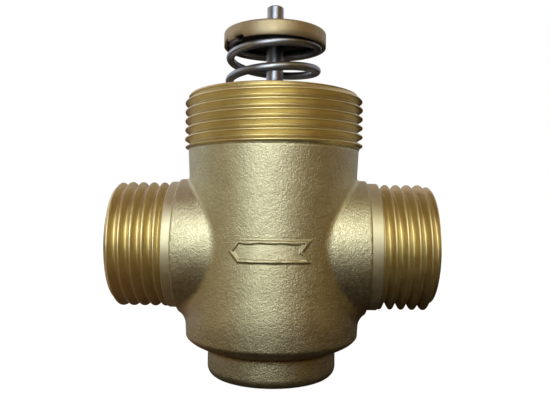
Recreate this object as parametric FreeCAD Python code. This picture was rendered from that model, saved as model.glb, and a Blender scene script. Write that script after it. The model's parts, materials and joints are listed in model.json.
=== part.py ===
"""Three way control valve: threaded actuator collar, two side ports in line, one port underneath.

Millimetres. The origin is the centre of the bottom boss's underside, +Z runs up along the
stem, the side ports lie along X, and the flow arrow is on the -Y side.
Each function makes one piece, and the list at the end writes one STEP file per piece.
"""
import FreeCAD, Part
import math
import os

Vector = FreeCAD.Vector

# ---- heights above the underside of the bottom boss
port_axis_z = 21.5
shoulder_z = 4.8
neck_top_z = 37.5
collar_top_z = 46.6
cap_top_z = 57.6
stem_top_z = 62.15

# ---- forged body
boss_r = 10.75
boss_edge_round = 1.5
boss_fillet = 0.35
shoulder_r = 14.42
shoulder_rise = 1.9
shoulder_crown = 0.6    # how far out the bevel's middle lies: 0.5 is flat, 0.707 a full round
waist_points = [(shoulder_r, shoulder_z + shoulder_rise), (14.55, 9.5), (14.3, 14.9),
                (14.05, 21.5), (14.0, 27.0), (14.12, 32.0), (14.38, neck_top_z)]
cast_neck_r = 11.1
neck_blend = 1.0
port_bore_r = 7.5

# ---- actuator collar, M30 x 1.5
collar_r = 15.0
collar_root_r = 14.08
collar_pitch = 1.5
collar_grooves = 5
collar_first_groove_z = 38.77
collar_chamfer = 0.95

# ---- side ports, G 1/2
port_length = 26.1
port_r = 10.478
port_root_r = 9.317
port_pitch = 1.814
port_chamfer = 0.6
machined_from_x = 15.5
machined_r = 10.65
left_first_groove = 19.00
right_first_groove = 18.37

# ---- bottom port, G 3/8 female
bottom_minor_r = 7.475
bottom_major_r = 8.331
bottom_pitch = 1.337
bottom_thread_depth = 7.0

# ---- flow arrow, on the front
arrow_length = 12.2
arrow_height = 3.3
arrow_point = 1.3
arrow_notch = 1.1
arrow_rim = 0.5
arrow_face_r = 14.45

# ---- chambers inside the body
middle_chamber_r = 8.2
web_low_z = 21.1
web_high_z = 22.9
upper_chamber_r = 11.0
upper_seat_r = 5.5
seat_lip = 0.6
seat_lip_height = 0.3
side_wall_x = 8.5
side_wall_top_z = 30.2
port_bore_end_x = 10.6
passage_r = 7.0
bonnet_shoulder_z = 37.6
bonnet_thread_r = 12.0

# ---- stem, its seals and guides
stem_r = 1.45
tip_r = 1.4
running_gap = 0.05
packing_r = 3.05
stroke = 2.5
seat_gap = 0.02

# ---- bonnet
bonnet_bottom_z = 30.6
bonnet_nose_z = 33.6
spring_floor_z = 41.0
bonnet_top_z = 44.6

# ---- return spring and its cap
wire_r = 0.69
spring_r = 7.42
spring_washer_t = 0.8
cap_r = 8.68
cap_plate = 1.25
cap_rim_z = 55.05
cap_inner_r = 8.2
spring_pitch = 3.94
spring_start_angle = -80
spring_ease = 30
spring_step = 15

# ---- plug between the two seats
lower_seat_z = 11.9
seal_t = 1.4
seal_r = 6.6
plug_r = 6.4
seal_washer_r = 4.6
seal_washer_t = 0.6
nut_height = 2.4
nut_across_flats = 5.5

ORIGIN = Vector(0, 0, 0)
UP = Vector(0, 0, 1)


def cylinder(radius, low, high):
    """A cylinder on the valve's axis between two heights."""
    return Part.makeCylinder(radius, high - low, Vector(0, 0, low))


def ring(outer, inner, low, high):
    """A plain round washer or sleeve on the valve's axis."""
    return cylinder(outer, low, high).cut(cylinder(inner, low, high))


def turned(points):
    """A solid turned about the valve's axis from its outline of (radius, height) corners."""
    corners = [Vector(r, 0, z) for r, z in points]
    outline = Part.makePolygon(corners + [corners[0]])
    return Part.Face(outline).revolve(ORIGIN, UP, 360)


def box(low, high):
    """A block between two corners, each (x, y, z)."""
    return Part.makeBox(high[0] - low[0], high[1] - low[1], high[2] - low[2], Vector(*low))


def hexagon(across_flats, low, high):
    """A hexagonal bar on the valve's axis with its top corners turned off."""
    corner_r = across_flats / math.sqrt(3)
    corners = [Vector(corner_r * math.cos(math.radians(60 * k)),
                      corner_r * math.sin(math.radians(60 * k)), low) for k in range(7)]
    bar = Part.Face(Part.makePolygon(corners)).extrude(Vector(0, 0, high - low))
    bevel = corner_r - across_flats / 2
    return bar.common(turned([(0, low), (corner_r, low), (corner_r, high - bevel),
                              (corner_r - bevel, high), (0, high)]))


def torus(middle_r, section_r, height):
    """An O-ring lying level at a height."""
    return Part.makeTorus(middle_r, section_r, Vector(0, 0, height), UP)


def outside_groove(major, minor, pitch, crest, flank_angle, height):
    """The ring of metal that one turn of a male thread takes away."""
    half_top = (pitch - crest) / 2
    beyond = 0.5
    slope = math.tan(math.radians(flank_angle))
    half_root = half_top - (major - minor) * slope
    half_beyond = half_top + beyond * slope
    return turned([(minor, height - half_root), (major + beyond, height - half_beyond),
                   (major + beyond, height + half_beyond), (minor, height + half_root)])


def inside_groove(major, minor, pitch, crest, flank_angle, height):
    """The ring of metal that one turn of a female thread takes away."""
    half_mouth = (pitch - crest) / 2
    beyond = 0.3
    slope = math.tan(math.radians(flank_angle))
    half_root = half_mouth - (major - minor) * slope
    half_beyond = half_mouth + beyond * slope
    return turned([(major, height - half_root), (minor - beyond, height - half_beyond),
                   (minor - beyond, height + half_beyond), (major, height + half_root)])


def to_side(shape, side):
    """Turn a shape made up the Z axis to lie along the port axis, towards +X or -X."""
    laid = shape.copy()
    laid.rotate(ORIGIN, Vector(0, 1, 0), 90 * side)
    laid.translate(Vector(0, 0, port_axis_z))
    return laid


def body_outline():
    """The forging's turned outline, from the boss's underside to the top of the cast neck."""
    corner = boss_r - boss_edge_round
    bend = math.sqrt(0.5)
    fillet_r = boss_r + boss_fillet
    shoulder_reach = shoulder_r - boss_r - boss_fillet
    shoulder_top_z = shoulder_z + shoulder_rise

    def at(r, z):
        return Vector(r, 0, z)

    edges = [
        Part.LineSegment(at(0, 0), at(corner, 0)),
        Part.Arc(at(corner, 0), at(corner + boss_edge_round * bend, boss_edge_round * (1 - bend)),
                 at(boss_r, boss_edge_round)),
        Part.LineSegment(at(boss_r, boss_edge_round), at(boss_r, shoulder_z - boss_fillet)),
        Part.Arc(at(boss_r, shoulder_z - boss_fillet),
                 at(fillet_r - boss_fillet * bend, shoulder_z - boss_fillet * (1 - bend)),
                 at(fillet_r, shoulder_z)),
        Part.Arc(at(fillet_r, shoulder_z),
                 at(fillet_r + shoulder_reach * shoulder_crown,
                    shoulder_top_z - shoulder_rise * shoulder_crown),
                 at(shoulder_r, shoulder_top_z)),
    ]
    waist = Part.BSplineCurve()
    waist.interpolate([at(r, z) for r, z in waist_points])
    edges.append(waist)
    edges.append(Part.LineSegment(at(waist_points[-1][0], neck_top_z), at(0, neck_top_z)))
    edges.append(Part.LineSegment(at(0, neck_top_z), at(0, 0)))
    return Part.Wire([edge.toShape() for edge in edges])


def cast_shape():
    """Barrel and both port necks, blended together where they meet."""
    barrel = Part.Face(body_outline()).revolve(ORIGIN, UP, 360)
    barrel.rotate(ORIGIN, UP, 90)
    necks = to_side(cylinder(cast_neck_r, -machined_from_x, machined_from_x), 1)
    forging = barrel.fuse(necks).removeSplitter()
    seams = []
    for edge in forging.Edges:
        spread = edge.BoundBox
        if spread.XLength > 2 and spread.YLength > 2 and spread.ZLength > 2:
            seams.append(edge)
    return forging.makeFillet(neck_blend, seams)


def collar():
    """The male collar that the actuator's nut screws on to, with the forging's rim under it."""
    barrel_top_r = waist_points[-1][0]
    blank = turned([(0, neck_top_z), (barrel_top_r, neck_top_z),
                    (barrel_top_r, neck_top_z + 0.16), (collar_r - 0.2, neck_top_z + 0.2),
                    (collar_r - 0.08, neck_top_z + 0.32), (collar_r, neck_top_z + 0.8),
                    (collar_r, collar_top_z - collar_chamfer),
                    (collar_r - collar_chamfer, collar_top_z), (0, collar_top_z)])
    for turn in range(collar_grooves):
        height = collar_first_groove_z + turn * collar_pitch
        blank = blank.cut(outside_groove(collar_r, collar_root_r, collar_pitch, 0.19, 30, height))
    return blank


def port_end(side, first_groove):
    """One machined and threaded port end, from the cast neck outwards."""
    blank = turned([(0, machined_from_x - 1), (machined_r, machined_from_x - 1),
                    (machined_r, machined_from_x + 1.45), (port_r, machined_from_x + 1.6),
                    (port_r, port_length - port_chamfer), (port_r - port_chamfer, port_length),
                    (0, port_length)])
    height = first_groove
    while height < port_length - port_chamfer / 2:
        blank = blank.cut(outside_groove(port_r, port_root_r, port_pitch, 0.3, 27.5, height))
        height += port_pitch
    return to_side(blank, side)


def arrow_outline(inset):
    """The arrow's face outline on the front, pointing to -X, drawn smaller by an inset."""
    half = arrow_length / 2
    rise = arrow_height / 2
    point = Vector(-half + 1.3 * inset, 0, 0)
    corners = [point, Vector(-half + arrow_point + 0.5 * inset, 0, rise - inset),
               Vector(half - 2.2 * inset, 0, rise - inset),
               Vector(half - arrow_notch - 1.2 * inset, 0, 0),
               Vector(half - 2.2 * inset, 0, -rise + inset),
               Vector(-half + arrow_point + 0.5 * inset, 0, -rise + inset)]
    place = Vector(0, -arrow_face_r - 1, port_axis_z - 0.1)
    return Part.makePolygon([corner + place for corner in corners + [point]])


def flow_arrow():
    """The raised rim of the flow arrow, following the round of the barrel."""
    depth = Vector(0, 2.5, 0)
    rim = Part.Face(arrow_outline(0)).extrude(depth)
    rim = rim.cut(Part.Face(arrow_outline(arrow_rim)).extrude(depth))
    return rim.common(cylinder(arrow_face_r, port_axis_z - 3, port_axis_z + 3))


def passages():
    """Everything hollow in the forging: port bores, both chambers, the seat and the bonnet bore."""
    far = port_length + 1
    right_bore = to_side(cylinder(port_bore_r, port_bore_end_x, far), 1)
    left_bore = to_side(cylinder(port_bore_r, port_bore_end_x, far), -1)
    wide = 20
    over_web = box((0, -wide, web_high_z), (wide, wide, port_axis_z + passage_r))
    under_web = box((-wide, -wide, 0), (0, wide, web_low_z))
    to_upper = to_side(cylinder(passage_r, 0, port_bore_end_x + 1), 1).common(over_web)
    to_middle = to_side(cylinder(passage_r, 0, port_bore_end_x + 1), -1).common(under_web)
    upper = cylinder(upper_chamber_r, web_high_z, side_wall_top_z)
    upper = upper.cut(box((-wide, -wide, 0), (-side_wall_x, wide, side_wall_top_z)))
    neck = cylinder(upper_chamber_r, side_wall_top_z - 0.1, bonnet_shoulder_z)
    bonnet_bore = cylinder(bonnet_thread_r, bonnet_shoulder_z, collar_top_z)
    mouth = turned([(0, collar_top_z - 0.8), (bonnet_thread_r, collar_top_z - 0.8),
                    (bonnet_thread_r + 0.8, collar_top_z), (0, collar_top_z)])
    middle = cylinder(middle_chamber_r, lower_seat_z - 0.6, web_low_z)
    middle = middle.cut(ring(upper_seat_r + seat_lip, upper_seat_r,
                             web_low_z - seat_lip_height, web_low_z))
    seat_hole = cylinder(upper_seat_r, web_low_z - 1, web_high_z + 1)
    hollows = [left_bore, to_upper, to_middle, upper, neck, bonnet_bore, mouth, middle, seat_hole]
    return right_bore.multiFuse(hollows + [bottom_port_bore()])


def bottom_port_bore():
    """The bypass port: female thread, seat ring bore and the land that the seat ring screws up to."""
    bore = cylinder(bottom_minor_r, 0, bottom_thread_depth)
    mouth = turned([(0, 0), (bottom_major_r + 0.2, 0), (bottom_minor_r - 0.1, 0.96), (0, 0.96)])
    ring_bore = cylinder(7.05, bottom_thread_depth - 0.1, 10.4)
    nose_bore = cylinder(6.25, 10.3, lower_seat_z)
    bore = bore.multiFuse([mouth, ring_bore, nose_bore])
    for turn in range(4):
        height = 1.6 + turn * bottom_pitch
        bore = bore.fuse(inside_groove(bottom_major_r, bottom_minor_r, bottom_pitch, 0.25,
                                       27.5, height))
    return bore


def valve_body():
    outside = cast_shape().multiFuse([collar(), flow_arrow(),
                                      port_end(1, right_first_groove),
                                      port_end(-1, left_first_groove)])
    return outside.cut(passages())


def lower_seat_ring():
    """The bypass seat: screwed in from below, with a raised lip and two driver slots."""
    lip = lower_seat_z
    seat = turned([(5.0, 7.4), (6.95, 7.4), (7.0, 7.6), (7.0, 10.0), (6.15, 10.0),
                   (6.15, lip - 0.4), (5.85, lip), (5.45, lip), (5.0, lip - 0.5)])
    return seat.cut(box((-8, -0.6, 7.0), (8, 0.6, 8.3)))


def lower_seat_gasket():
    return ring(6.95, 6.2, 10.0, 10.4)


def bonnet():
    """The insert that closes the body's top, guides the stem and carries the spring."""
    shell = turned([(packing_r, bonnet_bottom_z + 0.8), (1.75, bonnet_bottom_z + 0.8),
                    (1.75, bonnet_bottom_z), (4.6, bonnet_bottom_z), (5.0, bonnet_bottom_z + 0.4),
                    (5.0, bonnet_nose_z), (10.5, bonnet_nose_z), (10.9, bonnet_nose_z + 0.4),
                    (10.9, 34.6), (9.4, 34.6), (9.4, 36.6), (10.9, 36.6),
                    (10.9, bonnet_shoulder_z), (bonnet_thread_r - 0.03, bonnet_shoulder_z),
                    (bonnet_thread_r - 0.03, bonnet_top_z - 0.4),
                    (bonnet_thread_r - 0.4, bonnet_top_z), (10.1, bonnet_top_z),
                    (9.7, bonnet_top_z - 0.4), (9.7, spring_floor_z), (4.0, spring_floor_z),
                    (4.0, 37.6), (packing_r, 37.6)])
    for turn in (0, 90):
        slot = box((-13, -1.2, bonnet_top_z - 1.6), (13, 1.2, bonnet_top_z + 1))
        slot = slot.cut(cylinder(9.0, bonnet_top_z - 2, bonnet_top_z + 2))
        slot.rotate(ORIGIN, UP, 45 + turn)
        shell = shell.cut(slot)
    return shell


def bonnet_o_ring():
    return torus(10.18, 0.78, 35.6)


def guide_bush():
    """Plain flanged bush that keeps the stem central at the bottom of the bonnet."""
    low = bonnet_bottom_z + 0.8
    return turned([(stem_r + running_gap, low), (packing_r, low), (packing_r, low + 1.9),
                   (stem_r + running_gap + 0.3, low + 1.9), (stem_r + running_gap, low + 1.6)])


def stem_o_ring(height):
    gap = 0.02
    section = (packing_r - stem_r - 2 * gap) / 2
    return torus(stem_r + gap + section, section, height)


def packing_spacer():
    return ring(packing_r, stem_r + running_gap, 34.88, 35.4)


def packing_washer():
    return ring(packing_r, stem_r + running_gap, 36.98, 37.6)


def gland_nut():
    """Hexagon nut over the packing, with a shallow seat for the wiper in its top."""
    head = hexagon(8.0, spring_floor_z, 43.4)
    nut = head.fuse(turned([(0, 37.6), (3.7, 37.6), (3.97, 37.9), (3.97, spring_floor_z),
                            (0, spring_floor_z)]))
    nut = nut.cut(cylinder(stem_r + 0.1, 37, 44))
    return nut.cut(cylinder(2.6, 42.3, 44))


def stem_wiper():
    """Soft wiper that keeps dirt out of the packing."""
    return turned([(stem_r + 0.03, 42.3), (2.6, 42.3), (2.6, 43.3), (2.0, 43.3),
                   (stem_r + 0.03, 43.0)])


def spring_seat_washer():
    return ring(9.3, 5.6, spring_floor_z, spring_floor_z + spring_washer_t)


def return_spring():
    """Right-hand coil in one smooth sweep, with its first and last half turns level."""
    low = spring_floor_z + spring_washer_t + wire_r
    high = cap_top_z - cap_plate - wire_r
    live = 360 * (high - low) / spring_pitch

    def eased(angle):
        if abs(angle) < spring_ease:
            return (angle + spring_ease) ** 2 / (4 * spring_ease)
        return max(angle, 0)

    def wire_centre(angle):
        height = low + spring_pitch * (eased(angle) - eased(angle - live)) / 360
        turn = math.radians(spring_start_angle + angle)
        return Vector(spring_r * math.cos(turn), spring_r * math.sin(turn), height)

    steps = round((live + 360) / spring_step)
    centres = [wire_centre(-180 + (live + 360) * k / steps) for k in range(steps + 1)]
    line = Part.BSplineCurve()
    line.interpolate(centres)
    across = line.tangent(line.FirstParameter)[0]
    section = Part.Wire(Part.makeCircle(wire_r, centres[0], across))
    return Part.Wire(line.toShape()).makePipeShell([section], True, True)


def stem():
    """Bright round stem: clip groove under the tip, collar above the plug, threaded foot."""
    clip_low = cap_top_z
    clip_high = cap_top_z + 0.65
    collar_low = web_low_z - seat_lip_height - seat_gap + seal_washer_t
    foot = collar_low - 2 * seal_washer_t - 2 * seal_t - plug_length() - nut_height - 0.7
    return turned([(0, foot), (stem_r - 0.3, foot), (stem_r, foot + 0.3), (stem_r, collar_low),
                   (2.6, collar_low), (2.6, collar_low + 0.7), (stem_r, collar_low + 1.1),
                   (stem_r, clip_low), (1.05, clip_low), (1.05, clip_high), (tip_r, clip_high),
                   (tip_r, stem_top_z - 0.2), (tip_r - 0.2, stem_top_z), (0, stem_top_z)])


def plug_length():
    """Spool length that leaves the stroke between both seals and their seats."""
    return (web_low_z - seat_lip_height - lower_seat_z) - stroke - 2 * seat_gap - 2 * seal_t


def plug_levels():
    """Heights of the faces stacked on the stem, from the upper seal's top downwards."""
    top = web_low_z - seat_lip_height - seat_gap
    spool_top = top - seal_t
    spool_low = spool_top - plug_length()
    low = spool_low - seal_t
    return top, spool_top, spool_low, low


def spring_cap():
    """Brass cup over the spring, with two notches in its rim."""
    edge = 0.4
    cup = turned([(stem_r + 0.03, cap_top_z - cap_plate), (cap_inner_r, cap_top_z - cap_plate),
                  (cap_inner_r, cap_rim_z), (cap_r - 0.05, cap_rim_z), (cap_r, cap_rim_z + 0.05),
                  (cap_r, cap_top_z - edge), (cap_r - edge, cap_top_z),
                  (stem_r + 0.03, cap_top_z)])
    for angle in (203, 229):
        notch = box((cap_inner_r - 1, -1.0, cap_rim_z - 1), (cap_r + 1, 1.0, cap_rim_z + 0.45))
        notch.rotate(ORIGIN, UP, angle)
        cup = cup.cut(notch)
    return cup


def cap_circlip():
    """E-shaped clip in the stem's groove, holding the cap down."""
    clip = ring(3.1, 1.08, cap_top_z, cap_top_z + 0.6)
    clip = clip.cut(box((0, -1.08, cap_top_z - 1), (4, 1.08, cap_top_z + 1)))
    for angle in (120, 240):
        relief = cylinder(0.75, cap_top_z - 1, cap_top_z + 1)
        relief.translate(Vector(1.9, 0, 0))
        relief.rotate(ORIGIN, UP, angle)
        clip = clip.cut(relief)
    return clip


def seal_disc(low):
    """Rubber seal disc of the plug."""
    return ring(seal_r, stem_r + 0.02, low, low + seal_t)


def upper_seal():
    return seal_disc(plug_levels()[1])


def lower_seal():
    return seal_disc(plug_levels()[3])


def upper_seal_washer():
    top = plug_levels()[0]
    return ring(seal_washer_r, stem_r + 0.02, top, top + seal_washer_t)


def lower_seal_washer():
    low = plug_levels()[3]
    return ring(seal_washer_r, stem_r + 0.02, low - seal_washer_t, low)


def plug():
    """Brass spool between the two seals, waisted in the middle."""
    top, high, low, bottom = plug_levels()
    rim = 0.9
    return turned([(stem_r + 0.02, low), (plug_r, low), (plug_r, low + rim), (4.2, low + rim + 0.5),
                   (4.2, high - rim - 0.5), (plug_r, high - rim), (plug_r, high),
                   (stem_r + 0.02, high)])


def plug_lock_nut():
    high = plug_levels()[3] - seal_washer_t
    nut = hexagon(nut_across_flats, high - nut_height, high)
    return nut.cut(cylinder(stem_r + 0.02, high - nut_height - 1, high + 1))


pieces = {
    "valve_body": valve_body,
    "lower_seat_ring": lower_seat_ring,
    "lower_seat_gasket": lower_seat_gasket,
    "bonnet": bonnet,
    "bonnet_o_ring": bonnet_o_ring,
    "guide_bush": guide_bush,
    "lower_stem_o_ring": lambda: stem_o_ring(34.09),
    "packing_spacer": packing_spacer,
    "upper_stem_o_ring": lambda: stem_o_ring(36.19),
    "packing_washer": packing_washer,
    "gland_nut": gland_nut,
    "stem_wiper": stem_wiper,
    "spring_seat_washer": spring_seat_washer,
    "return_spring": return_spring,
    "stem": stem,
    "spring_cap": spring_cap,
    "cap_circlip": cap_circlip,
    "upper_seal_washer": upper_seal_washer,
    "upper_seal": upper_seal,
    "plug": plug,
    "lower_seal": lower_seal,
    "lower_seal_washer": lower_seal_washer,
    "plug_lock_nut": plug_lock_nut,
}

os.makedirs("parts", exist_ok=True)
for name, make in pieces.items():
    shape = make()
    shape.exportStep("parts/" + name + ".step")
    print(name, len(shape.Solids), shape.isValid(), round(shape.Volume, 2))
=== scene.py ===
"""Looks of the three way valve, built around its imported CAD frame. Metres, +Z up, front is -Y.

The forging and its threads are remade as fine meshes: the cast skin from one distance field,
the threads as true right-hand helices. The turned and moulded pieces keep their CAD shapes.
"""
import json
import math

import bpy
import numpy as np
from mathutils import Matrix, Vector

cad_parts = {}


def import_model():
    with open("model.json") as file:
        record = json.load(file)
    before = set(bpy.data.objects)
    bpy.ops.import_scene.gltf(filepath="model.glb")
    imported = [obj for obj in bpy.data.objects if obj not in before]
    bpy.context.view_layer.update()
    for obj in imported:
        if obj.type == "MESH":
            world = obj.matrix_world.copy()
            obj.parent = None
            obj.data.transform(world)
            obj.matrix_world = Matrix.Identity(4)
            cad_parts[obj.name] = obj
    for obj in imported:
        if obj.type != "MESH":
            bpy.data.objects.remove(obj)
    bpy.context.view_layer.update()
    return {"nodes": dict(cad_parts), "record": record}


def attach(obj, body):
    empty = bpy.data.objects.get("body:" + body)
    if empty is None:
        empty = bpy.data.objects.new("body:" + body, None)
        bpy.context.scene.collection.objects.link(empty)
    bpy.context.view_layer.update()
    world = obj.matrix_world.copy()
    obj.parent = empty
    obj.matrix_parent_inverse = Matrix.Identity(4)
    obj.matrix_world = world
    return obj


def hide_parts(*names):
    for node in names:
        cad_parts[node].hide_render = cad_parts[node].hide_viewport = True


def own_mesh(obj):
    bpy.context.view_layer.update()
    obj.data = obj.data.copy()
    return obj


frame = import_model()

MM = 0.001

# ---- sizes of the forging, millimetres, as in the CAD model
AXIS_Z = 21.5
BOSS_R, BOSS_ROUND, BOSS_FILLET = 10.75, 1.5, 0.35
SHOULDER_R, SHOULDER_Z, SHOULDER_RISE, SHOULDER_CROWN = 14.42, 4.8, 1.9, 1.45
# height and reach of the painted shade that darkens the crease between boss and shoulder
CREASE_SHADE_Z, CREASE_SHADE_REACH = 4.9, 1.2
WAIST = [(14.42, 6.7), (14.55, 9.5), (14.3, 14.9), (14.05, 21.5), (14.0, 27.0), (14.12, 32.0),
         (14.38, 37.5)]
NECK_TOP_Z = 37.5
NECK_R, NECK_END_X, BAND_R = 11.1, 15.5, 10.65
FRONT_BLEND, UPPER_BLEND, LOWER_BLEND = 0.45, 0.5, 2.2
PORT_BORE_R, PORT_END_X = 7.5, 26.1
COLLAR_TOP_Z, COLLAR_GROOVE_Z = 46.6, 43.20
THREAD_LOW_Z = 37.68

# threads: M30 x 1.5 on the collar, G 1/2 on the ports, G 3/8 female underneath
COLLAR_R, COLLAR_ROOT_R, COLLAR_PITCH = 15.0, 14.08, 1.5
PORT_R, PORT_ROOT_R, PORT_PITCH = 10.478, 9.317, 1.814
BOTTOM_ROOT_R, BOTTOM_CREST_R, BOTTOM_PITCH, BOTTOM_DEPTH = 8.331, 7.475, 1.337, 7.0
METRIC_FLANK, PIPE_FLANK = 30, 27.5

# hollows inside the forging
BONNET_BORE_R, UPPER_CHAMBER_R, MIDDLE_CHAMBER_R = 12.0, 11.0, 8.2
PASSAGE_R, SEAT_BORE_R, RING_NOSE_R, RING_R, THREAD_ROOM_R = 7.0, 5.5, 6.25, 7.05, 9.25
UPPER_FLOOR_Z, UPPER_ROOF_Z, MIDDLE_FLOOR_Z, MIDDLE_ROOF_Z = 22.9, 30.3, 11.3, 21.1
RING_TOP_Z, PORT_BORE_FROM_X, UPPER_WALL_X = 10.4, 10.6, -8.5

STEM_R = 1.45
CAP_TOP_Z, CAP_RIM_Z, CAP_PLATE, CAP_R, CAP_INNER_R = 57.6, 55.05, 1.25, 8.68, 8.2
SPRING_FLOOR_Z, WIRE_R, COIL_R, COIL_PITCH, COIL_START = 41.8, 0.69, 7.42, 3.94, -80.0

# flow arrow on the front: outline, rim and the height it stands proud of the barrel
ARROW_LENGTH, ARROW_HEIGHT, ARROW_POINT, ARROW_NOTCH, ARROW_Z = 12.2, 3.3, 1.3, 1.1, AXIS_Z - 0.1
ARROW_RIM, ARROW_RISE, ARROW_FACE = 0.46, 0.42, 0.12

cast_cells = 0.24


# ---------------------------------------------------------------- noise and small maths

def hashed(ix, iy, iz, seed):
    """A repeatable value from 0 to 1 for each whole-number grid point."""
    n = (ix * 374761393 + iy * 668265263 + iz * 2147483647 + seed * 974634777) & 0xFFFFFFFF
    n = ((n ^ (n >> 13)) * 1274126177) & 0xFFFFFFFF
    return ((n ^ (n >> 16)) & 0xFFFF) / 65535.0


def noise(points, scale, seed=0):
    """Smooth noise from -1 to 1 at points in millimetres, with features about `scale` wide."""
    p = points / scale
    cell = np.floor(p).astype(np.int64)
    t = p - cell
    t = t * t * (3 - 2 * t)
    total = np.zeros(len(p))
    for dx in (0, 1):
        for dy in (0, 1):
            for dz in (0, 1):
                weight = (np.where(dx, t[:, 0], 1 - t[:, 0]) * np.where(dy, t[:, 1], 1 - t[:, 1])
                          * np.where(dz, t[:, 2], 1 - t[:, 2]))
                total += weight * hashed(cell[:, 0] + dx, cell[:, 1] + dy, cell[:, 2] + dz, seed)
    return total * 2 - 1


def smooth_step(low, high, value):
    t = np.clip((value - low) / (high - low), 0, 1)
    return t * t * (3 - 2 * t)


def soft_min(a, b, blend):
    """The lower of two values, rounded where they cross."""
    h = np.clip(0.5 + 0.5 * (b - a) / blend, 0, 1)
    return b + (a - b) * h - blend * h * (1 - h)


def soft_max(a, b, blend):
    return -soft_min(-a, -b, blend)


def waist_radius(z):
    """Radius of the barrel between the shoulder and the collar, on one smooth curve."""
    radii = np.array([r for r, _ in WAIST])
    heights = np.array([h for _, h in WAIST])
    slopes = np.gradient(radii, heights)
    z = np.clip(z, heights[0], heights[-1])
    k = np.clip(np.searchsorted(heights, z) - 1, 0, len(heights) - 2)
    span = heights[k + 1] - heights[k]
    t = (z - heights[k]) / span
    return ((2 * t**3 - 3 * t**2 + 1) * radii[k] + (t**3 - 2 * t**2 + t) * span * slopes[k]
            + (-2 * t**3 + 3 * t**2) * radii[k + 1] + (t**3 - t**2) * span * slopes[k + 1])


# ---------------------------------------------------------------- meshes

def make_object(name, vertices_mm, faces, material, smooth=True):
    mesh = bpy.data.meshes.new(name)
    mesh.from_pydata((np.asarray(vertices_mm) * MM).tolist(), [], faces)
    mesh.materials.append(material)
    mesh.polygons.foreach_set("use_smooth", [smooth] * len(mesh.polygons))
    mesh.update()
    piece = bpy.data.objects.new(name, mesh)
    bpy.context.scene.collection.objects.link(piece)
    return piece


def place(piece, body, slot, *nodes):
    """Ride on a CAD body and stand for the CAD nodes. The slot argument is not used."""
    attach(piece, body)
    if nodes:
        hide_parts(*nodes)
    return piece


def grid_faces(rows, columns, close_rows=False):
    """Quads of a rows x columns grid whose columns wrap round, and whose rows may too."""
    last = rows if close_rows else rows - 1
    faces = []
    for i in range(last):
        a = i * columns
        b = ((i + 1) % rows) * columns
        for j in range(columns):
            k = (j + 1) % columns
            faces.append((a + j, a + k, b + k, b + j))
    return faces


def lathe_grid(radii, heights, columns):
    """Points of a turned closed outline; radii may be an array per row or rows x columns."""
    angle = np.linspace(0, 2 * math.pi, columns, endpoint=False)
    r = np.broadcast_to(np.asarray(radii, float).reshape(len(heights), -1),
                        (len(heights), columns))
    z = np.repeat(np.asarray(heights, float)[:, None], columns, axis=1)
    return np.stack([r * np.cos(angle), r * np.sin(angle), z], axis=-1).reshape(-1, 3)


def thread_radius(angle, z, major, minor, pitch, flank, groove_z, crest_round, root_round):
    """Radius of a right-hand male thread, with a groove centre at groove_z where angle is -90."""
    turn = (angle + math.pi / 2) / (2 * math.pi)
    phase = (z - groove_z) / pitch - turn
    away = np.abs(phase - np.round(phase)) * pitch
    steep = 1 / math.tan(math.radians(flank))
    middle = (major + minor) / 2
    line = middle + (away - pitch / 4) * steep
    return soft_min(soft_max(line, minor, root_round), major, crest_round)


# ---------------------------------------------------------------- cast skin

def outline_distance_table(step=0.05):
    """Signed distance to the barrel's turned outline, tabled over radius and height."""
    bend = np.linspace(0, math.pi / 2, 13)
    corner = BOSS_R - BOSS_ROUND
    points = [(0.0, 0.0)]
    points += [(corner + BOSS_ROUND * math.sin(a), BOSS_ROUND * (1 - math.cos(a))) for a in bend]
    fillet = BOSS_FILLET
    points += [(BOSS_R + fillet * (1 - math.cos(a)), SHOULDER_Z - fillet * (1 - math.sin(a)))
               for a in bend]
    reach = SHOULDER_R - BOSS_R - fillet
    flatness = 2 / SHOULDER_CROWN
    points += [(BOSS_R + fillet + reach * math.sin(a) ** flatness,
                SHOULDER_Z + SHOULDER_RISE * (1 - abs(math.cos(a)) ** flatness))
               for a in bend[1:]]
    heights = np.linspace(WAIST[0][1], NECK_TOP_Z + 3, 60)[1:]
    points += list(zip(waist_radius(heights), heights))
    points.append((0.0, NECK_TOP_Z + 3))
    points = np.array(points)
    r = np.arange(0, 18, step)
    z = np.arange(-1.5, NECK_TOP_Z + 2, step)
    rr, zz = np.meshgrid(r, z, indexing="ij")
    best = np.full(rr.shape, 1e9)
    inside = np.zeros(rr.shape, bool)
    for (x0, y0), (x1, y1) in zip(points, np.roll(points, -1, axis=0)):
        if abs(y1 - y0) > 1e-9:
            crosses = ((zz < y0) != (zz < y1))
            at = x0 + (zz - y0) / (y1 - y0) * (x1 - x0)
            inside ^= crosses & (rr < at)
        if x0 == 0 and x1 == 0:
            continue
        dx, dy = x1 - x0, y1 - y0
        t = np.clip(((rr - x0) * dx + (zz - y0) * dy) / (dx * dx + dy * dy), 0, 1)
        best = np.minimum(best, (rr - x0 - t * dx) ** 2 + (zz - y0 - t * dy) ** 2)
    distance = np.sqrt(best)
    return np.where(inside, -distance, distance), step


BARREL_TABLE, BARREL_STEP = outline_distance_table()


def barrel_distance(p):
    """Signed distance from points to the turned barrel."""
    r = np.hypot(p[..., 0], p[..., 1]) / BARREL_STEP
    z = (p[..., 2] + 1.5) / BARREL_STEP
    rows, columns = BARREL_TABLE.shape
    i = np.clip(np.floor(r).astype(int), 0, rows - 2)
    j = np.clip(np.floor(z).astype(int), 0, columns - 2)
    u = np.clip(r - i, 0, 1)
    v = np.clip(z - j, 0, 1)
    table = BARREL_TABLE
    return (table[i, j] * (1 - u) * (1 - v) + table[i + 1, j] * u * (1 - v)
            + table[i, j + 1] * (1 - u) * v + table[i + 1, j + 1] * u * v)


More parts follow.
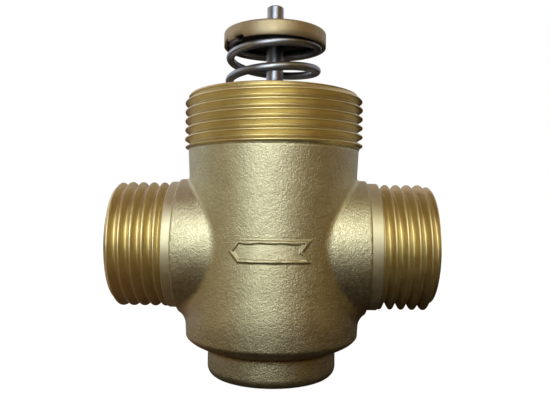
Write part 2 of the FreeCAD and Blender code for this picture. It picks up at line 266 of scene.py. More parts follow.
def tube_distance(p, radius, across_x=True):
    """Signed distance to an endless round bar along X on the port axis, or up the valve's axis."""
    if across_x:
        return np.hypot(p[..., 1], p[..., 2] - AXIS_Z) - radius
    return np.hypot(p[..., 0], p[..., 1]) - radius


def joined(a, b, blend):
    """Two solids joined with a round fillet of the given radius."""
    into_a = np.maximum(blend - a, 0)
    into_b = np.maximum(blend - b, 0)
    return np.maximum(blend, np.minimum(a, b)) - np.sqrt(into_a**2 + into_b**2)


def outer_distance(p):
    """The cast skin: barrel and both necks, with a tighter blend in front than above and below."""
    level = (p[..., 2] - AXIS_Z) / NECK_R
    blend = (FRONT_BLEND + (UPPER_BLEND - FRONT_BLEND) * smooth_step(0.55, 1.0, level)
             + (LOWER_BLEND - FRONT_BLEND) * smooth_step(-0.55, -1.0, level))
    return joined(barrel_distance(p), tube_distance(p, NECK_R), blend)


def slab(value, low, high):
    return np.maximum(low - value, value - high)


def hollow_distance(p):
    """Everything hollow inside the forging, following the CAD model."""
    x, y, z = p[..., 0], p[..., 1], p[..., 2]
    port = tube_distance(p, PORT_BORE_R)
    ends = np.maximum(port, PORT_BORE_FROM_X - np.abs(x))
    passage = tube_distance(p, PASSAGE_R)
    to_upper = np.maximum(passage, np.maximum(UPPER_FLOOR_Z - z, -x))
    to_middle = np.maximum(passage, np.maximum(z - MIDDLE_ROOF_Z, x))
    chamber = tube_distance(p, UPPER_CHAMBER_R, False)
    upper = np.maximum(chamber, slab(z, UPPER_FLOOR_Z, UPPER_ROOF_Z))
    upper = np.maximum(upper, UPPER_WALL_X - x)
    neck = np.maximum(chamber, UPPER_ROOF_Z - 0.1 - z)
    middle = np.maximum(tube_distance(p, MIDDLE_CHAMBER_R, False),
                        slab(z, MIDDLE_FLOOR_Z, MIDDLE_ROOF_Z))
    seat = np.maximum(tube_distance(p, SEAT_BORE_R, False),
                      slab(z, MIDDLE_ROOF_Z - 1.1, UPPER_FLOOR_Z + 1.1))
    nose = np.maximum(tube_distance(p, RING_NOSE_R, False),
                      slab(z, RING_TOP_Z - 0.1, MIDDLE_FLOOR_Z + 0.7))
    ring_bore = np.maximum(tube_distance(p, RING_R, False), z - RING_TOP_Z)
    thread_bore = np.maximum(tube_distance(p, THREAD_ROOM_R, False), z - BOTTOM_DEPTH - 0.1)
    parts = [ends, to_upper, to_middle, upper, neck, middle, seat, nose, ring_bore, thread_bore]
    hollow = parts[0]
    for part in parts[1:]:
        hollow = np.minimum(hollow, part)
    return hollow


def cast_field(p):
    """Signed distance to the cast piece: the skin less its hollows, cut square at its ends."""
    ends = np.maximum(np.abs(p[..., 0]) - NECK_END_X, p[..., 2] - NECK_TOP_Z)
    solid = np.maximum(outer_distance(p), ends)
    return np.maximum(solid, -hollow_distance(p))


def surface_net(field, low, high, cell):
    """Vertices and quads where a field changes sign, one vertex to each crossed grid cell."""
    axes = [np.arange(a, b + cell, cell) for a, b in zip(low, high)]
    points = np.stack(np.meshgrid(*axes, indexing="ij"), axis=-1)
    values = np.concatenate([field(points[i:i + 8]) for i in range(0, len(axes[0]), 8)])
    inside = values < 0
    shape = np.array(values.shape)
    cells = tuple(shape - 1)
    total = np.zeros(cells + (3,))
    count = np.zeros(cells)
    corners = [(i, j, k) for i in (0, 1) for j in (0, 1) for k in (0, 1)]

    def corner(array, c):
        return array[c[0]:shape[0] - 1 + c[0], c[1]:shape[1] - 1 + c[1], c[2]:shape[2] - 1 + c[2]]

    for a in corners:
        for axis in range(3):
            if a[axis]:
                continue
            b = list(a)
            b[axis] = 1
            va, vb = corner(values, a), corner(values, b)
            crossed = corner(inside, a) != corner(inside, b)
            t = np.where(crossed, va / np.where(crossed, va - vb, 1), 0)
            for d in range(3):
                offset = a[d] + (t if d == axis else 0)
                total[..., d] += np.where(crossed, offset, 0)
            count += crossed
    used = count > 0
    index = np.full(cells, -1)
    index[used] = np.arange(used.sum())
    where = np.argwhere(used)
    vertices = (where + total[used] / count[used][:, None]) * cell + np.array(low)
    faces = []
    for axis in range(3):
        u, v = (axis + 1) % 3, (axis + 2) % 3
        lower = [slice(None)] * 3
        upper = [slice(None)] * 3
        lower[axis] = slice(0, -1)
        upper[axis] = slice(1, None)
        here, there = inside[tuple(lower)], inside[tuple(upper)]
        edges = np.argwhere(here != there)
        edges = edges[(edges[:, u] > 0) & (edges[:, v] > 0)]
        edges = edges[(edges[:, u] < cells[u]) & (edges[:, v] < cells[v])]
        starts_inside = here[tuple(edges.T)]

        def cell_index(du, dv):
            at = edges.copy()
            at[:, u] -= du
            at[:, v] -= dv
            return index[tuple(at.T)]

        quad = np.stack([cell_index(1, 1), cell_index(0, 1), cell_index(0, 0), cell_index(1, 0)],
                        axis=1)
        quad[~starts_inside] = quad[~starts_inside][:, ::-1]
        faces.append(quad)
    return vertices, np.concatenate(faces)


def gradient(field, p, step=0.02):
    slope = np.zeros_like(p)
    for axis in range(3):
        shift = np.zeros(3)
        shift[axis] = step
        slope[:, axis] = (field(p + shift) - field(p - shift)) / (2 * step)
    return slope


def settle(field, vertices, passes=3):
    """Moves vertices on to the field's zero surface."""
    for _ in range(passes):
        value = field(vertices)
        slope = gradient(field, vertices)
        size = np.maximum((slope**2).sum(axis=1), 0.25)
        move = slope * (value / size)[:, None]
        vertices = vertices - np.clip(move, -0.2, 0.2)
    return vertices


def cast_texture(points):
    """Height of the blasted, hot-stamped skin in millimetres: dimples over slow unevenness."""
    slow = noise(points, 7.0, 1) * 0.022 + noise(points, 2.6, 2) * 0.008
    return slow + noise(points, 0.9, 3) * 0.008


def arrow_corners():
    """Corners of the arrow in its own plane, pointing to -X, with a swallow-tail notch."""
    half, rise = ARROW_LENGTH / 2, ARROW_HEIGHT / 2
    return [(-half, 0), (-half + ARROW_POINT, rise), (half, rise), (half - ARROW_NOTCH, 0),
            (half, -rise), (-half + ARROW_POINT, -rise)]


def arrow_distance(x, z):
    """Signed distance to the arrow's outline from places across its front."""
    u, v = x, z - ARROW_Z
    corners = arrow_corners()
    best = np.full(u.shape, 1e9)
    inside = np.zeros(u.shape, bool)
    for (x0, y0), (x1, y1) in zip(corners, corners[1:] + corners[:1]):
        dx, dy = x1 - x0, y1 - y0
        t = np.clip(((u - x0) * dx + (v - y0) * dy) / (dx * dx + dy * dy), 0, 1)
        best = np.minimum(best, np.hypot(u - x0 - t * dx, v - y0 - t * dy))
        if abs(dy) > 1e-9:
            crosses = (v < y0) != (v < y1)
            inside ^= crosses & (u < x0 + (v - y0) / dy * dx)
    return np.where(inside, -best, best)


def cast_body(material):
    low = (-16.2, -15.6, -1.2)
    high = (16.2, 15.6, NECK_TOP_Z + 1.2)
    vertices, quads = surface_net(cast_field, low, high, cast_cells)
    vertices = settle(cast_field, vertices)
    skin = smooth_step(0.25, 0.05, np.abs(outer_distance(vertices)))
    from_ends = np.minimum(NECK_END_X - np.abs(vertices[:, 0]), NECK_TOP_Z - vertices[:, 2])
    skin *= smooth_step(0.05, 0.7, from_ends)
    skin *= smooth_step(-0.1, 0.5, vertices[:, 2])
    normal = gradient(outer_distance, vertices)
    normal /= np.maximum(np.linalg.norm(normal, axis=1), 1e-6)[:, None]
    height = cast_texture(vertices)
    under_arrow = smooth_step(0.25, -0.35, arrow_distance(vertices[:, 0], vertices[:, 2]))
    height -= 0.5 * under_arrow * (vertices[:, 1] < -5)
    vertices = vertices + normal * (height * skin)[:, None]
    return make_object("cast_body", vertices, quads.tolist(), material)


def arrow_patch(material):
    """The flow arrow: a raised rim round an uneven, slightly sunken face, on the barrel's round."""
    step = 0.06
    margin = 0.75
    half, rise = ARROW_LENGTH / 2 + margin, ARROW_HEIGHT / 2 + margin
    x = np.linspace(-half, half, int(2 * half / step))
    z = np.linspace(ARROW_Z - rise, ARROW_Z + rise, int(2 * rise / step))
    xx, zz = np.meshgrid(x, z)
    base = waist_radius(zz.ravel()).reshape(zz.shape)
    flat = np.stack([xx, -np.sqrt(base**2 - xx**2), zz], axis=-1).reshape(-1, 3)
    distance = arrow_distance(xx, zz)
    wander = noise(flat, 1.7, 21).reshape(xx.shape) * 0.13
    wander += noise(flat, 0.7, 22).reshape(xx.shape) * 0.06
    outer = smooth_step(0.16, -0.14, distance + wander * 0.4)
    inner = smooth_step(-ARROW_RIM + 0.10, -ARROW_RIM - 0.16, distance + wander)
    down = (ARROW_Z - zz) / ARROW_HEIGHT
    face = ARROW_FACE + 0.2 * down + noise(flat, 2.2, 23).reshape(xx.shape) * 0.04
    rim = ARROW_RISE + noise(flat, 1.3, 25).reshape(xx.shape) * 0.05
    skin = cast_texture(flat).reshape(xx.shape)
    height = skin + outer * (rim * (1 - inner) + face * inner)
    edge = np.minimum(half - np.abs(xx), rise - np.abs(zz - ARROW_Z))
    height -= 0.35 * smooth_step(0.42, 0.0, edge)
    radius = base + height
    front = np.stack([xx, -np.sqrt(radius**2 - xx**2), zz], axis=-1).reshape(-1, 3)
    back = np.stack([xx, -np.sqrt((base - 1.2)**2 - xx**2), zz], axis=-1).reshape(-1, 3)
    return slab_object("flow_arrow", front, back, len(z), len(x), material)


def slab_object(name, front, back, rows, columns, material):
    """A closed slab from two matching grids of points."""
    count = rows * columns
    faces = []
    for i in range(rows - 1):
        for j in range(columns - 1):
            a = i * columns + j
            faces.append((a, a + 1, a + 1 + columns, a + columns))
            b = a + count
            faces.append((b, b + columns, b + columns + 1, b + 1))
    rim = [j for j in range(columns)]
    rim += [i * columns + columns - 1 for i in range(1, rows)]
    rim += [(rows - 1) * columns + j for j in range(columns - 2, -1, -1)]
    rim += [i * columns for i in range(rows - 2, 0, -1)]
    for a, b in zip(rim, rim[1:] + rim[:1]):
        faces.append((b, a, a + count, b + count))
    return make_object(name, np.concatenate([front, back]), faces, material)


# ---------------------------------------------------------------- threads

def turned_ring(name, outline, columns, material):
    """A closed ring turned from its outline of (radius, height) corners, given in order."""
    vertices = lathe_grid([r for r, _ in outline], [h for _, h in outline], columns)
    return make_object(name, vertices, grid_faces(len(outline), columns, close_rows=True),
                       material)


def arc(r, z, radius, start, end, steps=6):
    """Points of a round edge about a centre, between two angles in degrees."""
    angles = np.radians(np.linspace(start, end, steps))
    return [(r + radius * math.cos(a), z + radius * math.sin(a)) for a in angles]


def barrel_rim(material):
    """The barrel's top edge, filleted into the underside of the collar's thread."""
    low = NECK_TOP_Z - 0.25
    outline = [(13.2, low), (14.30, low), (14.38, NECK_TOP_Z), (14.39, THREAD_LOW_Z - 0.09),
               (14.43, THREAD_LOW_Z - 0.03), (14.5, THREAD_LOW_Z), (14.5, THREAD_LOW_Z + 0.05),
               (13.2, THREAD_LOW_Z + 0.05)]
    return turned_ring("barrel_rim", outline, 240, material)


def collar_sleeve(material):
    """The collar: M30 x 1.5 thread and chamfer outside, bonnet bore inside."""
    columns = 360
    start = THREAD_LOW_Z
    z = np.concatenate([np.arange(start, COLLAR_TOP_Z, 0.05), [COLLAR_TOP_Z]])
    angle = np.linspace(0, 2 * math.pi, columns, endpoint=False)
    a, zz = np.meshgrid(angle, z)
    radius = thread_radius(a, zz, COLLAR_R, COLLAR_ROOT_R, COLLAR_PITCH, METRIC_FLANK,
                           COLLAR_GROOVE_Z, 0.10, 0.16)
    radius = soft_max(radius, 14.5 - (zz - start) * 0.5, 0.08)
    radius = soft_min(radius, 14.86 + (zz - start) * 1.2, 0.06)
    chamfer = 14.1 + (COLLAR_TOP_Z - zz) * 0.9
    radius = soft_min(radius, chamfer, 0.08)
    outside = np.stack([radius * np.cos(a), radius * np.sin(a), zz], axis=-1).reshape(-1, 3)
    inner = [(BONNET_BORE_R + 0.8, COLLAR_TOP_Z), (BONNET_BORE_R, COLLAR_TOP_Z - 0.8),
             (BONNET_BORE_R, start)]
    inside = lathe_grid([r for r, _ in inner], [h for _, h in inner], columns)
    vertices = np.concatenate([outside, inside])
    faces = grid_faces(len(z) + len(inner), columns, close_rows=True)
    return make_object("collar_thread", vertices, faces, material)


def bonnet_bore_ring(material):
    """The shoulder inside the collar that the bonnet screws down on to."""
    outline = [(11.0, NECK_TOP_Z - 0.1), (13.0, NECK_TOP_Z - 0.1), (13.0, THREAD_LOW_Z),
               (BONNET_BORE_R, THREAD_LOW_Z), (BONNET_BORE_R, NECK_TOP_Z + 0.1),
               (11.0, NECK_TOP_Z + 0.1)]
    return turned_ring("bonnet_shoulder", outline, 180, material)


def bottom_port(material):
    """The third port: machined face, entry chamfer and G 3/8 female thread."""
    columns = 240
    top = 7.15
    z = np.concatenate([np.arange(0.0, BOTTOM_DEPTH, 0.055), [BOTTOM_DEPTH, top]])
    angle = np.linspace(0, 2 * math.pi, columns, endpoint=False)
    a, zz = np.meshgrid(angle, z)
    male = thread_radius(a, zz, BOTTOM_ROOT_R, BOTTOM_CREST_R, BOTTOM_PITCH, PIPE_FLANK, 2.4,
                         0.18, 0.18)
    radius = BOTTOM_ROOT_R + BOTTOM_CREST_R - male
    run_out = BOTTOM_CREST_R + np.maximum(6.7 - zz, 0) * 2
    radius = np.where(zz > 6.4, np.minimum(radius, run_out), radius)
    radius = soft_max(radius, BOTTOM_ROOT_R + 0.2 - zz * 1.2, 0.08)
    radius = np.where(zz >= BOTTOM_DEPTH, BOTTOM_CREST_R, radius)
    inside = np.stack([radius * np.cos(a), radius * np.sin(a), zz], axis=-1).reshape(-1, 3)
    outer = [(9.32, top), (9.32, 0.12), (9.2, 0.0)]
    outside = lathe_grid([r for r, _ in outer], [h for _, h in outer], columns)
    faces = grid_faces(len(z) + len(outer), columns, close_rows=True)
    faces = [face[::-1] for face in faces]
    return make_object("bottom_port", np.concatenate([inside, outside]), faces, material)


def along_port(points, side):
    """Carries points made up the Z axis to the port axis, towards +X or -X."""
    if side > 0:
        return np.stack([points[:, 2], points[:, 0], points[:, 1] + AXIS_Z], axis=1)
    return np.stack([-points[:, 2], points[:, 0], -points[:, 1] + AXIS_Z], axis=1)


def port_sleeve(name, side, groove_x, band_end, material):
    """One port end: G 1/2 thread with its run-out, chamfered end and its bore."""
    columns = 320
    start = band_end - 0.12
    x = np.concatenate([np.arange(start, PORT_END_X, 0.05), [PORT_END_X]])
    angle = np.linspace(0, 2 * math.pi, columns, endpoint=False)
    a, xx = np.meshgrid(angle, x)
    turn_from_front = a - math.pi * 1.5
    radius = thread_radius(turn_from_front, xx, PORT_R, PORT_ROOT_R, PORT_PITCH, PIPE_FLANK,
                           groove_x, 0.16, 0.2)
    run_out = 10.43 - (xx - band_end) * 1.3
    radius = np.where(xx < band_end + 0.9, soft_max(radius, run_out, 0.1), radius)
    radius = np.minimum(radius, np.where(xx < band_end, 10.43, PORT_R))
    chamfer = 9.88 + (PORT_END_X - xx)
    radius = soft_min(radius, chamfer, 0.08)
    inner = [(PORT_BORE_R + 0.25, PORT_END_X), (PORT_BORE_R, PORT_END_X - 0.25),
             (PORT_BORE_R, start)]
    outside = np.stack([radius * np.cos(a), radius * np.sin(a), xx], axis=-1).reshape(-1, 3)
    inside = lathe_grid([r for r, _ in inner], [h for _, h in inner], columns)
    vertices = along_port(np.concatenate([outside, inside]), side)
    faces = grid_faces(len(x) + len(inner), columns, close_rows=True)
    return make_object(name, vertices, faces, material)


def port_band(name, side, band_end, material):
    """The smooth turned band between the cast neck and the thread, with its tool line."""
    start = NECK_END_X
    outline = [(PORT_BORE_R, start), (BAND_R - 0.08, start), (BAND_R - 0.02, start + 0.06)]
    outline += [(BAND_R, start + d) for d in (0.12, 0.2, 0.4)]
    outline += [(BAND_R, band_end - d) for d in (0.4, 0.2, 0.12)]
    outline += [(BAND_R - 0.03, band_end - 0.05), (10.48, band_end), (10.0, band_end),
                (10.0, band_end - 0.12), (PORT_BORE_R, band_end - 0.12)]
    columns = 320
    points = lathe_grid([r for r, _ in outline], [h for _, h in outline], columns)
    return make_object(name, along_port(points, side),
                       grid_faces(len(outline), columns, close_rows=True), material)


# ---------------------------------------------------------------- spring and cap

def coil_centre(angle):
    """Centre of the spring wire at an angle from the start of its live turns, in degrees."""
    low = SPRING_FLOOR_Z + WIRE_R
    high = CAP_TOP_Z - CAP_PLATE - WIRE_R
    live = 360 * (high - low) / COIL_PITCH
    ease = 30.0

    def eased(a):
        return np.where(np.abs(a) < ease, (a + ease) ** 2 / (4 * ease), np.maximum(a, 0))

    height = low + COIL_PITCH * (eased(angle) - eased(angle - live)) / 360
    turn = np.radians(COIL_START + angle)
    lean = -0.28 * np.sin(math.pi * np.clip((height - low) / (high - low), 0, 1)) ** 0.8
    return np.stack([COIL_R * np.cos(turn) + lean, COIL_R * np.sin(turn), height], axis=-1), live


def return_spring(material):
    """The wire of the return spring: one closed tube with rounded ends."""
    sides = 28
    _, live = coil_centre(np.zeros(1))
    angles = np.arange(-180, live + 180.01, 4.0)
    centres, _ = coil_centre(angles)
    ahead = np.gradient(centres, axis=0)
    ahead /= np.linalg.norm(ahead, axis=1)[:, None]
    out = centres * np.array([1, 1, 0])
    out -= (out * ahead).sum(axis=1)[:, None] * ahead
    out /= np.linalg.norm(out, axis=1)[:, None]
    up = np.cross(ahead, out)
    around = np.linspace(0, 2 * math.pi, sides, endpoint=False)

    def loop(k, radius, shift):
        ring = out[k] * np.cos(around)[:, None] + up[k] * np.sin(around)[:, None]
        return centres[k] + ahead[k] * shift + ring * radius

    loops = [loop(0, WIRE_R * 0.55, -0.12), loop(0, WIRE_R * 0.88, -0.09)]
    loops += [loop(k, WIRE_R, 0) for k in range(len(centres))]
    loops += [loop(-1, WIRE_R * 0.88, 0.09), loop(-1, WIRE_R * 0.55, 0.12)]
    vertices = np.concatenate(loops)
    faces = grid_faces(len(loops), sides)
    faces.append(tuple(range(sides - 1, -1, -1)))
    first = (len(loops) - 1) * sides
    faces.append(tuple(range(first, first + sides)))
    return make_object("return_spring_wire", vertices, faces, material)


def spring_cap(material, inside_shade_material):
    """The brass cup on the stem, its top edge rounded and two pairs of notches in its rim, its
    inner faces dark with painted shade.
    """
    columns = 360
    angle = np.degrees(np.linspace(0, 2 * math.pi, columns, endpoint=False))
    rim = np.full(columns, CAP_RIM_Z)
    half_width = math.degrees(1.0 / CAP_R)
    for centre in (203, 229):
        rim[np.abs((angle - centre + 180) % 360 - 180) < half_width] += 0.45
    edge = 0.42
    hole = STEM_R + 0.03
    radii = [CAP_INNER_R, CAP_INNER_R + 0.06, CAP_R - 0.06, CAP_R, CAP_R]
    heights = [rim + 0.06, rim, rim, rim + 0.06, (rim + CAP_TOP_Z - edge) / 2]
    for r, z in arc(CAP_R - edge, CAP_TOP_Z - edge, edge, 0, 90, 7):
        radii.append(r)
        heights.append(np.full(columns, z))
    for r, z in ((6.0, CAP_TOP_Z), (3.0, CAP_TOP_Z), (hole, CAP_TOP_Z),
                 (hole, CAP_TOP_Z - CAP_PLATE), (5.0, CAP_TOP_Z - CAP_PLATE),
                 (CAP_INNER_R, CAP_TOP_Z - CAP_PLATE)):
        radii.append(r)
        heights.append(np.full(columns, z))
    turn = np.radians(angle)
    rows = [np.stack([r * np.cos(turn), r * np.sin(turn), z], axis=-1)
            for r, z in zip(radii, heights)]
    faces = grid_faces(len(rows), columns, close_rows=True)
    cup = make_object("spring_cap_cup", np.concatenate(rows), faces, material)
    # the inner faces take the near-black painted-shade material
    cup.data.materials.append(inside_shade_material)
    first_inside = (len(rows) - 3) * columns
    for face in cup.data.polygons[first_inside:]:
        face.material_index = 1
    return cup


# ---------------------------------------------------------------- materials

def new_material(name):
    material = bpy.data.materials.new(name)
    material.use_nodes = True
    tree = material.node_tree
    shader = tree.nodes["Principled BSDF"]
    return material, tree, shader


def node(tree, kind, **values):
    made = tree.nodes.new(kind)
    for key, value in values.items():
        setattr(made, key, value)
    return made


def noise_node(tree, scale, detail=3.0, roughness=0.5):
    coordinates = node(tree, "ShaderNodeTexCoord")
    made = node(tree, "ShaderNodeTexNoise")
    made.inputs["Scale"].default_value = scale
    made.inputs["Detail"].default_value = detail
    made.inputs["Roughness"].default_value = roughness
    tree.links.new(coordinates.outputs["Object"], made.inputs["Vector"])
    return made.outputs["Fac"]


def ramp(tree, source, stops):
    made = node(tree, "ShaderNodeValToRGB")
    while len(made.color_ramp.elements) < len(stops):
        made.color_ramp.elements.new(0.5)
    for element, (position, colour) in zip(made.color_ramp.elements, stops):
        element.position = position
        element.color = (*colour, 1)
    tree.links.new(source, made.inputs["Fac"])
    return made.outputs["Color"]


def smooth_range(tree, source, low, high, to_low, to_high):
    """A value carried smoothly from one range to another."""
    made = node(tree, "ShaderNodeMapRange", interpolation_type="SMOOTHSTEP")
    for name, value in (("From Min", low), ("From Max", high), ("To Min", to_low),
                        ("To Max", to_high)):
        made.inputs[name].default_value = value
    tree.links.new(source, made.inputs["Value"])
    return made.outputs["Result"]


def grey(value):
    return (value, value, value)


def bump(tree, shader, source, distance, strength=1.0, chain=None):
    made = node(tree, "ShaderNodeBump")
    made.inputs["Strength"].default_value = strength
    made.inputs["Distance"].default_value = distance
    tree.links.new(source, made.inputs["Height"])
    if chain is not None:
        tree.links.new(chain, made.inputs["Normal"])
    tree.links.new(made.outputs["Normal"], shader.inputs["Normal"])
    return made.outputs["Normal"]


def near_height(tree, height, reach):
    """1 at a height on the valve, fading to 0 at a reach above and below it, in millimetres."""
    parts = node(tree, "ShaderNodeSeparateXYZ")
    tree.links.new(node(tree, "ShaderNodeTexCoord").outputs["Object"], parts.inputs[0])
    above = node(tree, "ShaderNodeMath", operation="SUBTRACT")
    above.inputs[1].default_value = height * MM
    tree.links.new(parts.outputs["Z"], above.inputs[0])
    away = node(tree, "ShaderNodeMath", operation="ABSOLUTE")
    tree.links.new(above.outputs[0], away.inputs[0])
    return smooth_range(tree, away.outputs[0], reach * MM, 0.0, 0.0, 1.0)


def cast_brass():
    """Blasted hot-stamped brass: finely grained and matt, with painted shade darkening the crease
    over the boss.
    """
    material, tree, shader = new_material("cast_brass")
    shader.inputs["Metallic"].default_value = 1.0
    colour = ramp(tree, noise_node(tree, 380, 9, 0.85),
                  [(0.32, (0.50, 0.47, 0.32)), (0.68, (0.64, 0.61, 0.425))])
    # painted shade: the base colour is darkened near the crease between the boss and the shoulder
    painted_shade = node(tree, "ShaderNodeVectorMath", operation="MULTIPLY")
    tree.links.new(colour, painted_shade.inputs[0])
    tree.links.new(ramp(tree, near_height(tree, CREASE_SHADE_Z, CREASE_SHADE_REACH),
                        [(0.0, grey(1.0)), (1.0, (0.62, 0.42, 0.25))]), painted_shade.inputs[1])
    tree.links.new(painted_shade.outputs["Vector"], shader.inputs["Base Color"])
    rough = ramp(tree, noise_node(tree, 1400, 3, 0.6), [(0.3, grey(0.38)), (0.7, grey(0.50))])
    tree.links.new(rough, shader.inputs["Roughness"])
    grain = bump(tree, shader, noise_node(tree, 2400, 4, 0.7), 0.00008, 1.0)
    bump(tree, shader, noise_node(tree, 6000, 2, 0.5), 0.00004, 1.0, grain)
    return material


def turned_brass(name, low, high, rough_low, rough_high):
    material, tree, shader = new_material(name)
    shader.inputs["Metallic"].default_value = 1.0
    colour = ramp(tree, noise_node(tree, 160, 3, 0.6), [(0.3, low), (0.7, high)])
    tree.links.new(colour, shader.inputs["Base Color"])
    rough = ramp(tree, noise_node(tree, 600, 3, 0.6),
                 [(0.3, grey(rough_low)), (0.7, grey(rough_high))])
    tree.links.new(rough, shader.inputs["Roughness"])
    bump(tree, shader, noise_node(tree, 2600, 3, 0.5), 0.00001, 0.5)
    return material


def steel(name, scale, rough_scale, detail, low, high, rough_low, rough_high):
    material, tree, shader = new_material(name)
    shader.inputs["Metallic"].default_value = 1.0
    colour = ramp(tree, noise_node(tree, scale, detail), [(0.3, low), (0.7, high)])
    tree.links.new(colour, shader.inputs["Base Color"])
    rough = ramp(tree, noise_node(tree, rough_scale, detail),
                 [(0.3, grey(rough_low)), (0.7, grey(rough_high))])
    tree.links.new(rough, shader.inputs["Roughness"])
    return material


def plain_finish(name, low, high, rough):
    material, tree, shader = new_material(name)
    colour = ramp(tree, noise_node(tree, 300, 3), [(0.3, low), (0.7, high)])
    tree.links.new(colour, shader.inputs["Base Color"])
    shader.inputs["Roughness"].default_value = rough
    bump(tree, shader, noise_node(tree, 1800, 2), 0.00002, 0.5)
    return material


# ---------------------------------------------------------------- build

materials = {
    "forged_brass": cast_brass(),
    "machined_brass": turned_brass("cap_brass", (0.38, 0.31, 0.19), (0.46, 0.39, 0.27), 0.46, 0.58),
    "spring_steel": steel("spring_wire", 250, 800, 3, (0.26, 0.28, 0.33), (0.36, 0.38, 0.43),
                          0.30, 0.42),
    "stainless_steel": steel("bright_steel", 300, 900, 2, (0.25, 0.27, 0.33),
                             (0.31, 0.33, 0.40), 0.30, 0.40),
    "seal_rubber": plain_finish("seal_rubber", grey(0.02), grey(0.035), 0.6),
    "seal_plastic": plain_finish("seal_plastic", grey(0.75), grey(0.82), 0.45),
}
thread_brass = turned_brass("thread_brass", (0.62, 0.52, 0.28), (0.72, 0.63, 0.36), 0.38, 0.48)
# painted shade: a near-black material on the cap's inner faces stands in for the shade inside the
# cup
cap_inside_shade = turned_brass("cap_inside_shade", (0.035, 0.033, 0.032), (0.06, 0.057, 0.055), 0.5, 0.6)
band_brass = turned_brass("band_brass", (0.60, 0.56, 0.39), (0.69, 0.65, 0.47), 0.46, 0.56)

for entry in frame["record"]["subparts"]:
    shape = frame["nodes"][entry["node"]]
    shape.data.materials.clear()
    shape.data.materials.append(materials[entry["material_slot"]])

place(cast_body(materials["forged_brass"]), "body", "forged_brass", "valve_body")
place(arrow_patch(materials["forged_brass"]), "body", "forged_brass", "valve_body")
place(barrel_rim(materials["forged_brass"]), "body", "forged_brass", "valve_body")
place(collar_sleeve(thread_brass), "body", "forged_brass", "valve_body")
place(bonnet_bore_ring(thread_brass), "body", "forged_brass", "valve_body")
place(bottom_port(thread_brass), "body", "forged_brass", "valve_body")
for name, side, groove_x, band_end in (("right", 1, 18.37, 17.40), ("left", -1, 19.00, 17.05)):
    place(port_band(name + "_port_band", side, band_end, band_brass), "body", "forged_brass",
          "valve_body")
    place(port_sleeve(name + "_port_thread", side, groove_x, band_end, thread_brass), "body",
          "forged_brass", "valve_body")
place(spring_cap(materials["machined_brass"], cap_inside_shade), "stem", "machined_brass", "spring_cap")
spring = place(return_spring(materials["spring_steel"]), "body", "spring_steel", "return_spring")
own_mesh(spring)


# ---------------------------------------------------------------- stage, light, camera

def summed_glows(tree, source, operation, glows):
    """Soft round glows added up, each fading from its core to its edge about its centre."""
    total = None
    for centre, edge, core, colour in glows:
        near = node(tree, "ShaderNodeVectorMath", operation=operation)
        near.inputs[1].default_value = centre
        tree.links.new(source, near.inputs[0])
        level = smooth_range(tree, near.outputs["Value"], edge, core, 0.0, 1.0)
        tinted = node(tree, "ShaderNodeVectorMath", operation="SCALE")
        tinted.inputs[0].default_value = colour
        tree.links.new(level, tinted.inputs["Scale"])
        if total is not None:
            added = node(tree, "ShaderNodeVectorMath", operation="ADD")
            tree.links.new(total, added.inputs[0])
            tree.links.new(tinted.outputs["Vector"], added.inputs[1])
            tinted = added
        total = tinted.outputs["Vector"]
    return total


def towards(turn, rise):
    """Direction from the valve, turned to the right of the front and raised, in degrees."""
    turn, rise = math.radians(turn), math.radians(rise)
    return Vector((math.sin(turn) * math.cos(rise), -math.cos(turn) * math.cos(rise),
                   math.sin(rise)))


def floor():
    """A pale floor that shows a soft contact shadow and throws little light back up."""
    made = bpy.data.meshes.new("floor")
    half, level = 3.0, -0.02 * MM
    made.from_pydata([(-half, -half, level), (half, -half, level), (half, half, level),
                      (-half, half, level)], [], [(0, 1, 2, 3)])
    piece = bpy.data.objects.new("floor", made)
    bpy.context.scene.collection.objects.link(piece)
    material = bpy.data.materials.new("floor_paint")
    material.use_nodes = True
    tree = material.node_tree
    tree.nodes.clear()
    pale = node(tree, "ShaderNodeBsdfDiffuse")
    pale.inputs["Color"].default_value = (*grey(FLOOR_PAINT), 1)
    glow = node(tree, "ShaderNodeEmission")
    glow.inputs["Color"].default_value = (1, 1, 1, 1)
    place_on_floor = node(tree, "ShaderNodeTexCoord").outputs["Object"]
    reach = node(tree, "ShaderNodeVectorMath", operation="LENGTH")
    tree.links.new(place_on_floor, reach.inputs[0])
    tree.links.new(smooth_range(tree, reach.outputs["Value"], 0.05, 0.2, FLOOR_GLOW, 1.02),
                   glow.inputs["Strength"])
    seen = node(tree, "ShaderNodeAddShader")
    dull = node(tree, "ShaderNodeBsdfDiffuse")
    dull.inputs["Color"].default_value = (0.031, 0.015, 0.0065, 1)
    patches = node(tree, "ShaderNodeEmission")
    glows = [((x * MM, y * MM, 0), reach * MM, 0.0, colour)
             for x, y, reach, colour in FLOOR_GLOWS]
    tree.links.new(summed_glows(tree, place_on_floor, "DISTANCE", glows),
                   patches.inputs["Color"])
    unseen = node(tree, "ShaderNodeAddShader")
    tree.links.new(dull.outputs["BSDF"], unseen.inputs[0])
    tree.links.new(patches.outputs["Emission"], unseen.inputs[1])
    path = node(tree, "ShaderNodeLightPath")
    mix = node(tree, "ShaderNodeMixShader")
    out = node(tree, "ShaderNodeOutputMaterial")
    tree.links.new(pale.outputs["BSDF"], seen.inputs[0])
    tree.links.new(glow.outputs["Emission"], seen.inputs[1])
    tree.links.new(path.outputs["Is Camera Ray"], mix.inputs["Fac"])
    tree.links.new(unseen.outputs["Shader"], mix.inputs[1])
    tree.links.new(seen.outputs["Shader"], mix.inputs[2])
    tree.links.new(mix.outputs["Shader"], out.inputs["Surface"])
    made.materials.append(material)


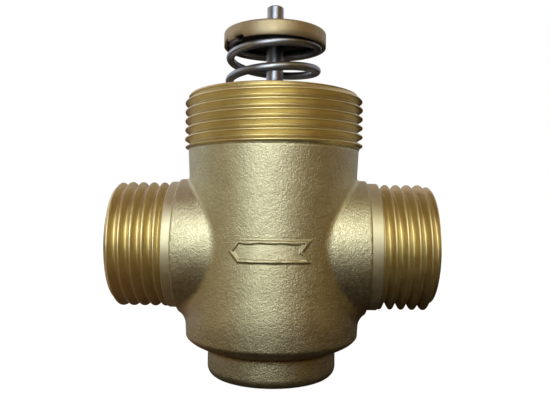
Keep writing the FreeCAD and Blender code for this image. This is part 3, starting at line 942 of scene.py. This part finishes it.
def soft_light(name, turn, rise, distance, size_mm, power, colour=(1, 1, 1)):
    """A square soft box aimed at the valve's waist; turn is to the right of the front view."""
    data = bpy.data.lights.new(name, "AREA")
    data.shape = "RECTANGLE"
    data.size, data.size_y = size_mm[0] * MM, size_mm[1] * MM
    data.energy = power
    data.color = colour
    target = Vector((0, 0, 24)) * MM
    lamp = bpy.data.objects.new(name, data)
    lamp.location = target + distance * MM * towards(turn, rise)
    lamp.rotation_euler = (target - lamp.location).to_track_quat("-Z", "Y").to_euler()
    bpy.context.scene.collection.objects.link(lamp)


def world():
    """A white backdrop, and a room of soft glows that only the metal reflects."""
    made = bpy.data.worlds.new("studio")
    bpy.context.scene.world = made
    made.use_nodes = True
    tree = made.node_tree
    background = tree.nodes["Background"]
    out = tree.nodes["World Output"]
    direction = node(tree, "ShaderNodeTexCoord").outputs["Generated"]
    glows = [(towards(turn, rise), math.cos(math.radians(reach)), 1.0, colour)
             for turn, rise, reach, colour in ROOM_GLOWS]
    tree.links.new(summed_glows(tree, direction, "DOT_PRODUCT", glows),
                   background.inputs["Color"])
    white = node(tree, "ShaderNodeBackground")
    white.inputs["Color"].default_value = (1, 1, 1, 1)
    white.inputs["Strength"].default_value = 1.0
    path = node(tree, "ShaderNodeLightPath")
    mix = node(tree, "ShaderNodeMixShader")
    tree.links.new(path.outputs["Is Camera Ray"], mix.inputs["Fac"])
    tree.links.new(background.outputs["Background"], mix.inputs[1])
    tree.links.new(white.outputs["Background"], mix.inputs[2])
    tree.links.new(mix.outputs["Shader"], out.inputs["Surface"])


def camera():
    """The camera stands a hand's width in front, level with the valve's waist."""
    distance, turn, rise, roll = 98.0, math.radians(1.58), math.radians(-0.51), math.radians(0.73)
    aim = Vector((0.32, 0, AXIS_Z + 7.53))
    back = Vector((math.sin(turn) * math.cos(rise), -math.cos(turn) * math.cos(rise),
                   math.sin(rise)))
    data = bpy.data.cameras.new("camera")
    data.sensor_width = 36
    data.lens = 573.8 / 550 * 36
    data.clip_start = 0.001
    made = bpy.data.objects.new("camera", data)
    made.location = (aim + back * distance) * MM
    look = (-back).to_track_quat("-Z", "Y").to_matrix()
    made.rotation_euler = (look @ Matrix.Rotation(roll, 3, "Z")).to_euler()
    bpy.context.scene.collection.objects.link(made)
    bpy.context.scene.camera = made


FLOOR_PAINT, FLOOR_GLOW = 0.25, 0.95
# turn, rise and reach in degrees, colour: cool from the left and behind, warm from the right
ROOM_GLOWS = [(-95, 10, 45, (0.38, 0.43, 0.42)), (-65, 15, 40, (0.31, 0.20, 0.02)),
              (-65, 50, 45, (0.10, 0.03, 0.01)), (0, 90, 45, (0.14, 0.06, 0.05)),
              (35, 15, 35, (0.19, 0.06, 0.01)), (35, 50, 40, (0.22, 0.13, 0.01)),
              (65, 15, 40, (0.14, 0.08, 0.01)), (65, 50, 45, (0.10, 0.12, 0.01)),
              (95, 10, 45, (0.13, 0.04, 0.01)), (130, 25, 50, (0.52, 0.53, 0.55)),
              (-130, 25, 50, (0.77, 0.73, 0.79)), (180, 40, 50, (0.24, 0.16, 0.15))]
# place and reach in millimetres, colour: what the lower parts reflect
FLOOR_GLOWS = [(-85, -45, 75, (0.62, 0.40, 0.14)), (-80, 45, 80, (0.50, 0.40, 0.42)),
               (-40, 0, 40, (0.11, 0.06, 0.03)), (90, -45, 70, (0.26, 0.19, 0.04)),
               (0, -80, 70, (0.16, 0.11, 0.06))]
floor()
world()
camera()
soft_light("key", -10, 14, 130, (70, 70), 0.058, (0.93, 1.0, 0.95))
soft_light("upper", -14, 34, 150, (80, 80), 0.048, (0.85, 0.92, 1.0))
soft_light("right", 12, 34, 180, (90, 90), 0.062, (1.0, 0.98, 0.80))
bpy.context.scene.view_settings.view_transform = "Standard"
